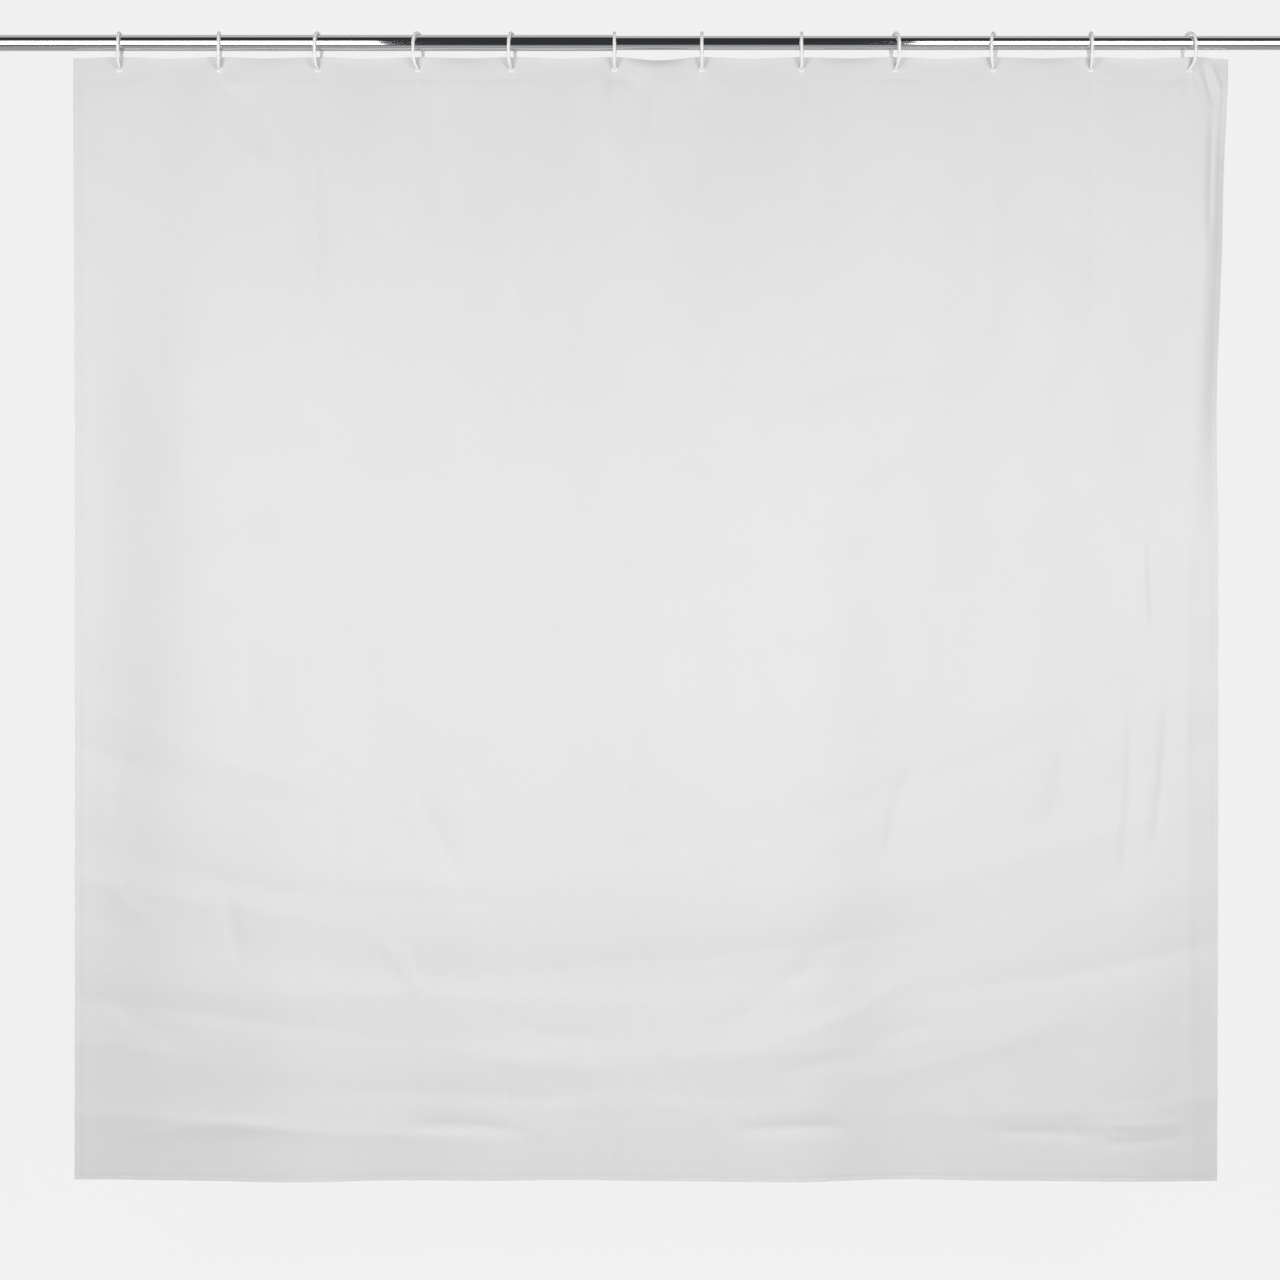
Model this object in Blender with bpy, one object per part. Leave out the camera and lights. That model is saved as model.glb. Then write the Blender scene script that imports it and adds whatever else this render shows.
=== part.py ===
"""A shower curtain of plastic film, hung by twelve snap rings from a telescopic tension rod.

Lengths are in metres and Z points up. The rod's axis is the X axis, and it runs from the left wall, whose
face is at x = 0, to the right wall. The curtain hangs in the plane y = 0, with its front towards -Y.
"""

import math

import bmesh
import bpy
from mathutils import Matrix

# Curtain film
FILM_WIDTH = 1.830
FILM_HEIGHT = 1.780
FILM_THICKNESS = 0.00012
HEADER_HEIGHT = 0.035
HEADER_THICKNESS = 0.00012
WALL_TO_FILM = 0.1614
FILM_TO_FAR_WALL = 0.1500

# Ring holes in the film
RING_COUNT = 12
FIRST_HOLE_INSET = 0.0737
LAST_HOLE_INSET = 0.0615
HOLE_DROP = 0.020
HOLE_PLAY = 0.0042
# How far each hole lies from even spacing, and how far each ring is turned about the vertical.
HOLE_SHIFTS = (0, 0.004, 0.0055, 0.010, 0.0045, 0.0135, -0.0025, 0.0015, -0.0035, -0.0025, -0.0025, 0)
RING_TURNS = (0, -3, 11, 20, 13, 0, 1, 3, -15, 15, 0, -22)

# Snap rings
RING_THICKNESS = 0.0048
RING_TOP_PLAY = 0.0006
RING_SIDE_PLAY = 0.0049
RING_CHEEK_RADIUS = 0.026
RING_FOOT_RADIUS = 0.005
CLASP_LENGTH = 0.006
CLASP_SWELL = 1.3
HEM_GAP = 0.0096

# Rod tubes
TUBE_DIAMETER = 0.0254
TUBE_WALL = 0.0005
OUTER_TUBE_LENGTH = 1.0095
INNER_TUBE_HIDDEN = 0.250
BUSH_WALL = 0.0005
BUSH_LENGTH = 0.030
BUSH_FLANGE = 0.002

# Lock between the tubes
SLEEVE_LENGTH = 0.030
SLEEVE_SLOT = math.radians(24)
SPINDLE_DIAMETER = 0.010
SPINDLE_HEAD_DIAMETER = 0.016
SPINDLE_HEAD_LENGTH = 0.004
PLUG_LENGTH = 0.020

# End cups, their pads and the spring behind the right one
PAD_DIAMETER = 0.045
PAD_THICKNESS = 0.004
PAD_PROUD = 0.0015
CUP_RIM = 0.0022
CUP_DEPTH = 0.007
CUP_FLOOR = 0.004
COLLAR_LENGTH = 0.032
COLLAR_WALL = 0.002
STEM_LENGTH = 0.015
FOOT_TRAVEL = 0.015
FOOT_TRAVEL_PLAY = 0.002
SPRING_LENGTH = 0.060
SPRING_TURNS = 8
SPRING_WIRE = 0.0018
SPRING_PLAY = 0.0012
SEAT_LENGTH = 0.010

# Gap between pieces that touch or run on each other, and how finely round pieces are made
GAP = 0.0003
ROUND_STEPS = 32
HOLE_STEPS = 16
ARC_STEPS = 7

TUBE_RADIUS = TUBE_DIAMETER / 2
TUBE_BORE = TUBE_RADIUS - TUBE_WALL
INNER_TUBE_RADIUS = TUBE_BORE - 2 * GAP - BUSH_WALL
INNER_TUBE_BORE = INNER_TUBE_RADIUS - TUBE_WALL
ROD_LENGTH = WALL_TO_FILM + FILM_WIDTH + FILM_TO_FAR_WALL
FILM_TOP = -(TUBE_RADIUS + HEM_GAP)
HOLE_RADIUS = (RING_THICKNESS + HOLE_PLAY) / 2
HOLE_HEIGHT = FILM_TOP - HOLE_DROP


def material(name, colour, roughness, metallic=0.0):
    made = bpy.data.materials.new(name)
    made.use_nodes = True
    shader = made.node_tree.nodes["Principled BSDF"]
    shader.inputs["Base Color"].default_value = (*colour, 1)
    shader.inputs["Roughness"].default_value = roughness
    shader.inputs["Metallic"].default_value = metallic
    made.diffuse_color = (*colour, 1)
    return made


def place(name, data, finish, parent=None):
    """Puts a mesh or a curve into the scene as an object with its material."""
    data.materials.clear()
    data.materials.append(finish)
    piece = bpy.data.objects.new(name, data)
    bpy.context.scene.collection.objects.link(piece)
    piece.parent = parent
    return piece


def joint_axis(name, place_on_axis):
    """An empty on a joint's axis, which the pieces that move together hang from."""
    axis = bpy.data.objects.new(name, None)
    axis.empty_display_size = 0.05
    axis.location = place_on_axis
    bpy.context.scene.collection.objects.link(axis)
    return axis


def mesh_of(name, shape, sharp_angle=math.radians(35)):
    """Closes a bmesh into a mesh, faces outwards, smooth but for its sharp edges."""
    bmesh.ops.remove_doubles(shape, verts=shape.verts, dist=1e-6)
    bmesh.ops.recalc_face_normals(shape, faces=shape.faces)
    mesh = bpy.data.meshes.new(name)
    shape.to_mesh(mesh)
    shape.free()
    mesh.shade_smooth()
    mesh.set_sharp_from_angle(angle=sharp_angle)
    return mesh


def turned(name, outline):
    """A mesh turned about the X axis. The outline's points are (distance along X, radius). One that starts
    and ends on the axis makes a solid, and any other is closed round a bore."""
    shape = bmesh.new()
    points = [shape.verts.new((x, 0, radius)) for x, radius in outline]
    edges = [shape.edges.new(pair) for pair in zip(points, points[1:])]
    if outline[0][1] > 0:
        edges.append(shape.edges.new((points[-1], points[0])))
    bmesh.ops.spin(shape, geom=points + edges, cent=(0, 0, 0), axis=(1, 0, 0), dvec=(0, 0, 0),
                   angle=math.tau, steps=ROUND_STEPS, use_merge=True, use_duplicate=False)
    return mesh_of(name, shape)


def tube_outline(start, end, radius, bore):
    return [(start, radius), (end, radius), (end, bore), (start, bore)]


def rod_outline(start, end, radius):
    return [(start, 0), (start, radius), (end, radius), (end, 0)]


def arc(centre, radius, start, end, steps=ARC_STEPS):
    """Points from the angle start up to, but not at, the angle end."""
    angles = [start + (end - start) * k / steps for k in range(steps)]
    return [(centre[0] + radius * math.cos(a), centre[1] + radius * math.sin(a)) for a in angles]


def poly_spline(curve, points, cyclic):
    spline = curve.splines.new("POLY")
    spline.points.add(len(points) - 1)
    for point, place_of_point in zip(spline.points, points):
        point.co = (*place_of_point, 1)
    spline.use_cyclic_u = cyclic
    return spline


def hole_places():
    """Distance of each ring hole along X."""
    first = WALL_TO_FILM + FIRST_HOLE_INSET
    last = WALL_TO_FILM + FILM_WIDTH - LAST_HOLE_INSET
    pitch = (last - first) / (RING_COUNT - 1)
    return [first + k * pitch + HOLE_SHIFTS[k % len(HOLE_SHIFTS)] for k in range(RING_COUNT)]


def film_sheet(name, height, thickness):
    """A flat sheet as wide as the film, from the film's top edge down, with its ring holes. The curve's own
    plane is turned upright when the sheet is placed."""
    left, right = WALL_TO_FILM, WALL_TO_FILM + FILM_WIDTH
    curve = bpy.data.curves.new(name, "CURVE")
    curve.dimensions = "2D"
    curve.fill_mode = "BOTH"
    curve.extrude = thickness / 2
    bottom = FILM_TOP - height
    edge = [(left, bottom), (right, bottom), (right, FILM_TOP), (left, FILM_TOP)]
    poly_spline(curve, [(x, z, 0) for x, z in edge], cyclic=True)
    for hole_x in hole_places():
        rim = arc((hole_x, HOLE_HEIGHT), HOLE_RADIUS, 0, math.tau, HOLE_STEPS)
        poly_spline(curve, [(x, z, 0) for x, z in rim], cyclic=True)
    return curve


def curtain(finish, swing_axis):
    film = place("curtain_film", film_sheet("curtain_film", FILM_HEIGHT, FILM_THICKNESS), finish, swing_axis)
    header = place("header_band", film_sheet("header_band", HEADER_HEIGHT, HEADER_THICKNESS), finish,
                   swing_axis)
    header.location.y = (FILM_THICKNESS + HEADER_THICKNESS) / 2 + GAP
    for sheet in (film, header):
        sheet.rotation_euler.x = math.pi / 2


def ring_outline():
    """The middle line of a ring in its own plane, as (y, z) points counted from the rod's axis: a round arch
    over the rod, straight legs, and cheeks that close in to a small foot under the film's hole. The clasp
    is in the middle of the back leg."""
    half_width = TUBE_RADIUS + RING_SIDE_PLAY + RING_THICKNESS / 2
    arch_height = TUBE_RADIUS + RING_TOP_PLAY + RING_THICKNESS / 2 - half_width
    foot_height = HOLE_HEIGHT + HOLE_RADIUS - GAP - RING_THICKNESS / 2 + RING_FOOT_RADIUS
    cheek_inset = RING_CHEEK_RADIUS - half_width
    cheek_reach = RING_CHEEK_RADIUS - RING_FOOT_RADIUS
    cheek_height = foot_height + math.sqrt(cheek_reach ** 2 - cheek_inset ** 2)
    close_in = math.acos(cheek_inset / cheek_reach)
    clasp_top = (arch_height + cheek_height + CLASP_LENGTH) / 2
    points = arc((0, arch_height), half_width, math.pi, 0, 2 * ARC_STEPS)
    points += [(half_width, arch_height), (half_width, clasp_top), (half_width, clasp_top - CLASP_LENGTH)]
    points += arc((-cheek_inset, cheek_height), RING_CHEEK_RADIUS, 0, -close_in)
    points += arc((0, foot_height), RING_FOOT_RADIUS, -close_in, close_in - math.pi, 3)
    points += arc((cheek_inset, cheek_height), RING_CHEEK_RADIUS, close_in - math.pi, -math.pi)
    points.append((-half_width, cheek_height))
    clasp = range(2 * ARC_STEPS + 1, 2 * ARC_STEPS + 3)
    return points, clasp


def rings(finish, swing_axis):
    """Twelve alike rings. The thicker stretch of the back leg is the clasp that the ring snaps shut with."""
    curve = bpy.data.curves.new("ring", "CURVE")
    curve.dimensions = "3D"
    curve.bevel_depth = RING_THICKNESS / 2
    curve.bevel_resolution = 2
    points, clasp = ring_outline()
    spline = poly_spline(curve, [(0, y, z) for y, z in points], cyclic=True)
    for k in clasp:
        spline.points[k].radius = CLASP_SWELL
    for k, hole_x in enumerate(hole_places()):
        ring = place(f"ring_{k + 1:02d}", curve, finish, swing_axis)
        ring.location.x = hole_x
        ring.rotation_euler.z = -math.radians(RING_TURNS[k % len(RING_TURNS)])


def cup_outline(tube_radius, tube_bore, stem_length):
    """Half section of an end cup, as (distance from the wall, radius): a recess for the pad, a flange, a
    collar round the tube, and a stem inside it."""
    recess = PAD_DIAMETER / 2 + GAP
    pad_bed = PAD_THICKNESS + GAP
    bore_floor = pad_bed + CUP_FLOOR
    bore = tube_radius + GAP
    stem = tube_bore - GAP
    return [
        (pad_bed, 0), (pad_bed, recess), (PAD_PROUD, recess), (PAD_PROUD, recess + CUP_RIM),
        (PAD_PROUD + CUP_DEPTH, recess + CUP_RIM), (bore_floor + CUP_FLOOR, bore + 2 * COLLAR_WALL),
        (bore_floor + COLLAR_LENGTH, bore + COLLAR_WALL), (bore_floor + COLLAR_LENGTH, bore),
        (bore_floor, bore), (bore_floor, stem), (bore_floor + stem_length, stem),
        (bore_floor + stem_length, 0),
    ]


def from_far_wall(outline):
    return [(ROD_LENGTH - distance, radius) for distance, radius in outline]


def left_end(plastic, rubber):
    cup = cup_outline(TUBE_RADIUS, TUBE_BORE, STEM_LENGTH)
    place("end_cup_left", turned("end_cup_left", cup), plastic)
    place("end_pad_left", turned("end_pad_left", rod_outline(0, PAD_THICKNESS, PAD_DIAMETER / 2)), rubber)


def outer_tube(chrome, plastic):
    """The fixed tube, and the bush in its mouth that the inner tube runs through. Returns the mouth's x."""
    start = PAD_THICKNESS + GAP + CUP_FLOOR + GAP
    mouth = start + OUTER_TUBE_LENGTH
    tube = tube_outline(start, mouth, TUBE_RADIUS, TUBE_BORE)
    place("rod_outer_tube", turned("rod_outer_tube", tube), chrome)
    bore = INNER_TUBE_RADIUS + GAP
    flange = mouth + GAP
    bush = [
        (mouth - BUSH_LENGTH, bore), (mouth - BUSH_LENGTH, bore + BUSH_WALL), (flange, bore + BUSH_WALL),
        (flange, TUBE_RADIUS), (flange + BUSH_FLANGE, TUBE_RADIUS), (flange + BUSH_FLANGE, bore),
    ]
    place("guide_bush", turned("guide_bush", bush), plastic)
    return mouth


def lock_sleeve(plastic, parent, spindle_end):
    """The split sleeve that grips the outer tube, round the spindle. Its section is a C."""
    start = spindle_end + SPINDLE_HEAD_LENGTH + GAP
    half_slot = SLEEVE_SLOT / 2
    outer = arc((0, 0), TUBE_BORE - GAP, half_slot, math.tau - half_slot, ROUND_STEPS)
    inner = arc((0, 0), SPINDLE_DIAMETER / 2 + GAP, math.tau - half_slot, half_slot, ROUND_STEPS)
    shape = bmesh.new()
    face = shape.faces.new([shape.verts.new((start, y, z)) for y, z in outer + inner])
    grown = bmesh.ops.extrude_face_region(shape, geom=[face])["geom"]
    tip = [item for item in grown if isinstance(item, bmesh.types.BMVert)]
    bmesh.ops.transform(shape, verts=tip, matrix=Matrix.Translation((SLEEVE_LENGTH, 0, 0)))
    place("lock_sleeve", mesh_of("lock_sleeve", shape), plastic, parent)


def inner_tube(chrome, plastic, steel, mouth, slide_axis):
    """The sliding tube, with the lock's spindle in its hidden end and the spring near its far end. Returns
    the x of the hidden end of the spindle."""
    start = mouth - INNER_TUBE_HIDDEN
    end = ROD_LENGTH - (PAD_THICKNESS + GAP + CUP_FLOOR + FOOT_TRAVEL + FOOT_TRAVEL_PLAY)
    tube = tube_outline(start, end, INNER_TUBE_RADIUS, INNER_TUBE_BORE)
    place("rod_inner_tube", turned("rod_inner_tube", tube), chrome, slide_axis)

    spindle, head = SPINDLE_DIAMETER / 2, SPINDLE_HEAD_DIAMETER / 2
    plug = INNER_TUBE_BORE - GAP
    spindle_end = start - 2 * GAP - SLEEVE_LENGTH - SPINDLE_HEAD_LENGTH
    neck = spindle_end + SPINDLE_HEAD_LENGTH
    outline = [
        (spindle_end, 0), (spindle_end, head), (neck, head), (neck, spindle), (start, spindle),
        (start, plug), (start + PLUG_LENGTH, plug), (start + PLUG_LENGTH, 0),
    ]
    place("lock_spindle", turned("lock_spindle", outline), steel, slide_axis)

    spring_end = ROD_LENGTH - right_stem_end() - GAP
    spring_start = spring_end - SPRING_LENGTH
    seat = rod_outline(spring_start - GAP - SEAT_LENGTH, spring_start - GAP, INNER_TUBE_BORE - GAP)
    place("spring_seat", turned("spring_seat", seat), plastic, slide_axis)
    spring(steel, spring_start, spring_end, slide_axis)
    return spindle_end


def right_stem_end():
    """How far the right cup's stem reaches from the wall: into the tube even when the foot is fully out."""
    return PAD_THICKNESS + GAP + CUP_FLOOR + FOOT_TRAVEL + FOOT_TRAVEL_PLAY + STEM_LENGTH


def spring(steel, start, end, parent):
    wire = SPRING_WIRE / 2
    radius = INNER_TUBE_BORE - SPRING_PLAY - wire
    length = end - start - SPRING_WIRE
    turn_steps = 12
    steps = SPRING_TURNS * turn_steps
    points = []
    for k in range(steps + 1):
        angle = math.tau * k / turn_steps
        points.append((start + wire + length * k / steps, radius * math.cos(angle), radius * math.sin(angle)))
    curve = bpy.data.curves.new("foot_spring", "CURVE")
    curve.dimensions = "3D"
    curve.bevel_depth = wire
    curve.bevel_resolution = 1
    curve.use_fill_caps = True
    poly_spline(curve, points, cyclic=False)
    place("foot_spring", curve, steel, parent)


def right_end(plastic, rubber, press_axis):
    stem_length = right_stem_end() - (PAD_THICKNESS + GAP + CUP_FLOOR)
    cup = from_far_wall(cup_outline(INNER_TUBE_RADIUS, INNER_TUBE_BORE, stem_length))
    place("end_cup_right", turned("end_cup_right", cup), plastic, press_axis)
    pad = from_far_wall(rod_outline(0, PAD_THICKNESS, PAD_DIAMETER / 2))
    place("end_pad_right", turned("end_pad_right", pad), rubber, press_axis)


def main():
    for old in list(bpy.data.objects):
        bpy.data.objects.remove(old)
    chrome = material("chrome", (0.80, 0.81, 0.82), 0.06, metallic=1.0)
    steel = material("spring_steel", (0.55, 0.55, 0.56), 0.30, metallic=1.0)
    white_film = material("white_film", (0.84, 0.84, 0.84), 0.45)
    white_plastic = material("white_plastic", (0.86, 0.86, 0.85), 0.25)
    grey_rubber = material("grey_rubber", (0.50, 0.50, 0.50), 0.75)

    swing_axis = joint_axis("curtain_swing_axis", (0, 0, 0))
    slide_axis = joint_axis("rod_extend_axis", (0, 0, 0))
    curtain(white_film, swing_axis)
    rings(white_plastic, swing_axis)
    left_end(white_plastic, grey_rubber)
    mouth = outer_tube(chrome, white_plastic)
    spindle_end = inner_tube(chrome, white_plastic, steel, mouth, slide_axis)
    lock_sleeve(white_plastic, slide_axis, spindle_end)
    right_end(white_plastic, grey_rubber, slide_axis)


main()
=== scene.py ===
"""Finishes for a shower curtain: creased plastic film, snap rings and a chromed tension rod, round the
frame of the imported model. Lengths are in metres, X runs along the rod, and the curtain's front faces -Y."""

import math
import random

import bmesh
import bpy
import numpy as np
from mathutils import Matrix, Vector


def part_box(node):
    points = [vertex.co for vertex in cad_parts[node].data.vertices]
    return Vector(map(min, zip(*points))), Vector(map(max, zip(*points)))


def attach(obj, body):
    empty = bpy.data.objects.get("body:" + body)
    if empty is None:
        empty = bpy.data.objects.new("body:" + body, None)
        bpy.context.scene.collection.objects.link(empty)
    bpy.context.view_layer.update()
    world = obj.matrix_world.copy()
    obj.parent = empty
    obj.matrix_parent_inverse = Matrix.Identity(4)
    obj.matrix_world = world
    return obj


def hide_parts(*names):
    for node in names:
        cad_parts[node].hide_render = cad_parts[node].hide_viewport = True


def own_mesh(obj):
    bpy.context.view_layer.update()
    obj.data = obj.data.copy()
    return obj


bl_info = {
    "name": "Shower Curtain",
    "version": (1, 0, 0),
    "blender": (4, 5, 0),
    "location": "View3D > Sidebar > Shower Curtain",
    "description": "Makes a shower curtain of plastic film with its rings and rod",
    "category": "Object",
}

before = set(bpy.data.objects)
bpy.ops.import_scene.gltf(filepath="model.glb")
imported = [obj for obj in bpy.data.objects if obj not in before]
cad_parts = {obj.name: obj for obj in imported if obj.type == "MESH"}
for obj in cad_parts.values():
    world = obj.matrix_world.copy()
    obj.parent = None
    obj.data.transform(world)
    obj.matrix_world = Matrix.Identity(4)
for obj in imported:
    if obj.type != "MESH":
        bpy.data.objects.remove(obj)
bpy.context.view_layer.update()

RING_NAMES = [f"ring_{k + 1:02d}" for k in range(12)]
RING_TURNS = (0, -3, 11, 20, 13, 0, 1, 3, -15, 15, 0, -22)  # degrees, each about the ring's own height
RING_LOW, RING_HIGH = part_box("ring_06")  # a ring that stands square to the rod
RING_BAR = 0.0048
CHEEK_RADIUS = 0.026  # a ring's long lower curves
FOOT_RADIUS = 0.005  # the round that carries the film
CLASP_ROOM = 0.0003  # taken off at the front and back, because the box takes in the clasp
GAP = 0.0003  # between neighbouring pieces
TUBE_WALL = 0.0005
TUBE_LIP = 0.0004  # the rounding of a tube's cut ends
FILM_LOW, FILM_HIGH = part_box("curtain_film")
HEADER_LOW, HEADER_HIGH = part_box("header_band")
FILM_WIDTH = FILM_HIGH.x - FILM_LOW.x
FILM_HEIGHT = FILM_HIGH.z - FILM_LOW.z
HEADER_HEIGHT = HEADER_HIGH.z - HEADER_LOW.z
HEADER_BACK = 0.0007  # how far the header stands behind the film
HEM_BACK = 0.0006
SHEET_THICKNESS = 0.00025
RIM_POINTS = 16  # grid points round a hole
HOLES = [sum(corner.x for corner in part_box(name)) / 2 - FILM_LOW.x for name in RING_NAMES]
HOLE_PLAY = 0.0042  # a hole's diameter beyond the bar's
HOLE_RADIUS = (RING_BAR + HOLE_PLAY) / 2
HOLE_DROP = FILM_HIGH.z - (RING_LOW.z + RING_BAR + GAP - HOLE_RADIUS)  # down to a hole's middle
EDGE_STRIP = 0.16  # how much of the width, at the loose right edge, has the finest grid
ROUND_STEPS = 96
SHARP_ANGLE = math.radians(32)


# Materials

def feed(tree, socket, source):
    """Links a socket from another one, or sets it to a number or a colour."""
    if isinstance(source, bpy.types.NodeSocket):
        tree.links.new(source, socket)
    else:
        socket.default_value = source


def add_node(tree, kind, **inputs):
    """A new shader node with each named input fed."""
    node = tree.nodes.new(f"ShaderNode{kind}")
    for label, source in inputs.items():
        feed(tree, node.inputs[label.replace("_", " ")], source)
    return node


def vector_math(tree, operation, *inputs):
    node = tree.nodes.new("ShaderNodeVectorMath")
    node.operation = operation
    for socket, source in zip(node.inputs, inputs):
        tree.links.new(source, socket)
    return node.outputs


def noise(tree, vector, scale, detail=3.0, roughness=0.5):
    return add_node(tree, "TexNoise", Vector=vector, Scale=scale, Detail=detail,
                    Roughness=roughness).outputs["Fac"]


def map_range(tree, value, low, high, start=0.0):
    """The value, which runs from start to 1, moved to between low and high."""
    return add_node(tree, "MapRange", Value=value, From_Min=start, To_Min=low,
                    To_Max=high).outputs["Result"]


def mixed_colour(tree, share, first, second):
    node = tree.nodes.new("ShaderNodeMix")
    node.data_type = "RGBA"
    tree.links.new(share, node.inputs["Factor"])
    feed(tree, node.inputs[6], first)
    feed(tree, node.inputs[7], second)
    return node.outputs[2]


def bump(tree, height, strength, distance, under=None):
    node = add_node(tree, "Bump", Height=height, Strength=strength, Distance=distance)
    if under:
        tree.links.new(under, node.inputs["Normal"])
    return node.outputs["Normal"]


def object_coordinates(tree):
    return tree.nodes.new("ShaderNodeTexCoord").outputs["Object"]


def group_tree(name, inputs, outputs):
    """A new shader node group, and its sockets: (name, kind, default) going in, (name, kind) coming out."""
    tree = bpy.data.node_groups.new(name, "ShaderNodeTree")
    for label, kind, default in inputs:
        socket = tree.interface.new_socket(label, in_out="INPUT", socket_type=f"NodeSocket{kind}")
        if default is not None:
            socket.default_value = default
    for label, kind in outputs:
        tree.interface.new_socket(label, in_out="OUTPUT", socket_type=f"NodeSocket{kind}")
    return tree, tree.nodes.new("NodeGroupInput").outputs, tree.nodes.new("NodeGroupOutput").inputs


def fine_grain_group():
    """Moulded grain: a height for a bump, and a roughness that wanders in wider patches."""
    inputs = [("Vector", "Vector", None), ("Scale", "Float", 900.0), ("Low Roughness", "Float", 0.3),
              ("High Roughness", "Float", 0.4)]
    tree, start, end = group_tree("Fine Grain", inputs, [("Height", "Float"), ("Roughness", "Float")])
    grain = noise(tree, start["Vector"], start["Scale"], detail=2.0)
    patches = noise(tree, start["Vector"], 14.0)
    feed(tree, end["Height"], grain)
    feed(tree, end["Roughness"], map_range(tree, patches, start["Low Roughness"], start["High Roughness"]))


def clouding_group():
    """Soft patches between two near colours, as in plastic of uneven thickness."""
    inputs = [("Vector", "Vector", None), ("Scale", "Float", 6.0),
              ("Thin Colour", "Color", (0.78, 0.78, 0.78, 1)),
              ("Thick Colour", "Color", (0.82, 0.82, 0.82, 1))]
    tree, start, end = group_tree("Clouding", inputs, [("Colour", "Color")])
    cloud = noise(tree, start["Vector"], start["Scale"], detail=4.0, roughness=0.6)
    feed(tree, end["Colour"], mixed_colour(tree, cloud, start["Thin Colour"], start["Thick Colour"]))


def rubbing_marks_group():
    """Fine marks drawn out along a turned piece, or round it with a large stretch: a height and a mask."""
    inputs = [("Vector", "Vector", None), ("Stretch", "Float", 12.0)]
    tree, start, end = group_tree("Rubbing Marks", inputs, [("Height", "Float"), ("Mask", "Float")])
    scale = add_node(tree, "CombineXYZ", X=start["Stretch"], Y=1.0, Z=1.0)
    stretched = vector_math(tree, "MULTIPLY", start["Vector"], scale.outputs["Vector"])
    marks = noise(tree, stretched["Vector"], 60.0, detail=4.0, roughness=0.7)
    feed(tree, end["Height"], marks)
    feed(tree, end["Mask"], map_range(tree, marks, -0.6, 1.4))


def add_group(tree, group, **inputs):
    """Places a shared group in a material with that material's own values, and returns what it puts out."""
    node = tree.nodes.new("ShaderNodeGroup")
    node.node_tree = bpy.data.node_groups[group]
    for label, source in inputs.items():
        feed(tree, node.inputs[label.replace("_", " ")], source)
    return node.outputs


def plain_material(name, colour, roughness, metallic=0.0):
    material = bpy.data.materials.new(name)
    material.use_nodes = True
    shader = material.node_tree.nodes["Principled BSDF"]
    shader.inputs["Base Color"].default_value = (*colour, 1)
    shader.inputs["Roughness"].default_value = roughness
    shader.inputs["Metallic"].default_value = metallic
    return material, material.node_tree, shader


def clouds_and_grain(tree, shader, place, thin, thick, cloud_scale, low, high, grain_scale):
    """Patches between two colours and a grain between two roughnesses. Returns the grain's height."""
    clouds = add_group(tree, "Clouding", Vector=place, Scale=cloud_scale, Thin_Colour=(*thin, 1),
                       Thick_Colour=(*thick, 1))
    grain = add_group(tree, "Fine Grain", Vector=place, Scale=grain_scale, Low_Roughness=low,
                      High_Roughness=high)
    tree.links.new(clouds["Colour"], shader.inputs["Base Color"])
    tree.links.new(grain["Roughness"], shader.inputs["Roughness"])
    return grain["Height"]


def film_material(settings):
    """White film with a frosted skin, faint clouding, and crinkles too fine to be worth a mesh."""
    colour, gloss = settings.colour, settings.gloss
    material, tree, shader = plain_material("white film", colour, gloss)
    shader.inputs["Transmission Weight"].default_value = settings.clearness
    shader.inputs["IOR"].default_value = 1.48
    shader.inputs["Specular IOR Level"].default_value = 0.35
    place_on_film = tree.nodes.new("ShaderNodeUVMap")
    place_on_film.uv_map = "film_metres"
    flat = place_on_film.outputs["UV"]
    grain = clouds_and_grain(tree, shader, flat, [0.965 * c for c in colour], colour, 5.0,
                             gloss - 0.08, gloss + 0.10, 1400.0)
    skin = bump(tree, noise(tree, flat, 38.0, roughness=0.55), 0.35, 0.0012)
    tree.links.new(bump(tree, grain, 0.2, 0.00006, skin), shader.inputs["Normal"])
    return material


def moulded_material(name, colour, roughness):
    """Injection-moulded plastic: a near-smooth skin with faint flow clouding."""
    material, tree, shader = plain_material(name, colour, roughness)
    shader.inputs["Coat Weight"].default_value = 0.15
    shader.inputs["Coat Roughness"].default_value = 0.12
    grain = clouds_and_grain(tree, shader, object_coordinates(tree), [0.95 * c for c in colour], colour,
                             60.0, roughness - 0.06, roughness + 0.08, 1800.0)
    tree.links.new(bump(tree, grain, 0.25, 0.00003), shader.inputs["Normal"])
    return material


def chrome_material(settings):
    """Polished chrome with faint drawing lines and a slightly uneven polish."""
    polish = settings.polish
    material, tree, shader = plain_material("polished chrome", settings.colour, polish, metallic=1.0)
    along = object_coordinates(tree)
    marks = add_group(tree, "Rubbing Marks", Vector=along, Stretch=0.15)
    grain = add_group(tree, "Fine Grain", Vector=along, Scale=500.0, Low_Roughness=polish * 0.6,
                      High_Roughness=polish * 1.5)
    tree.links.new(grain["Roughness"], shader.inputs["Roughness"])
    tree.links.new(bump(tree, marks["Height"], 0.005, 0.00004), shader.inputs["Normal"])
    return material


def steel_material():
    material, tree, shader = plain_material("drawn steel", (0.50, 0.50, 0.51), 0.32, metallic=1.0)
    marks = add_group(tree, "Rubbing Marks", Vector=object_coordinates(tree), Stretch=20.0)
    tree.links.new(map_range(tree, marks["Mask"], 0.24, 0.42), shader.inputs["Roughness"])
    tree.links.new(bump(tree, marks["Height"], 0.2, 0.0002), shader.inputs["Normal"])
    return material


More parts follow.
